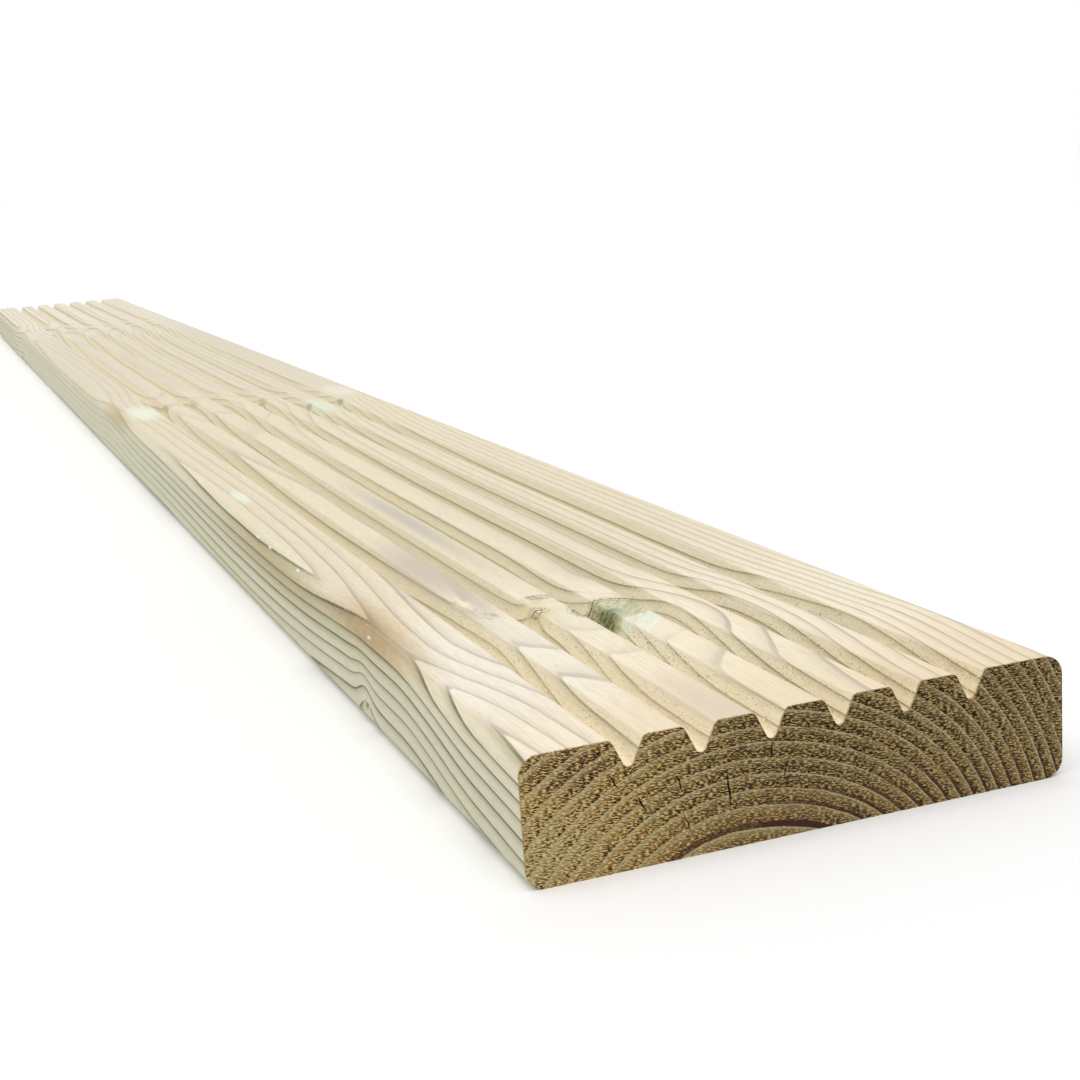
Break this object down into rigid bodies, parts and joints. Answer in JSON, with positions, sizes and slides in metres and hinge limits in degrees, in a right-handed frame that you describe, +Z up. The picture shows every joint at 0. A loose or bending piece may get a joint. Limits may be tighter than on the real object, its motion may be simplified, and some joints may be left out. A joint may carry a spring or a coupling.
{
  "type": "decking board",
  "caption": "Softwood decking board with rounded edges and round-bottomed grooves run along its face for grip and drainage, square-sawn at both ends.",
  "frame": {"origin": "middle of the underside, halfway along the board", "axes": "+X along the grain, towards the pictured end; +Y across the face; +Z up, out of the grooved face"},
  "size_m": [1.8, 0.145, 0.032],
  "materials": {
    "treated_softwood": "planed and moulded, pale cream with a faint green preservative tint; ends brown, sawn across the grain"
  },
  "bodies": {
    "root": {"decking_board": "treated_softwood"}
  },
  "joints": []
}
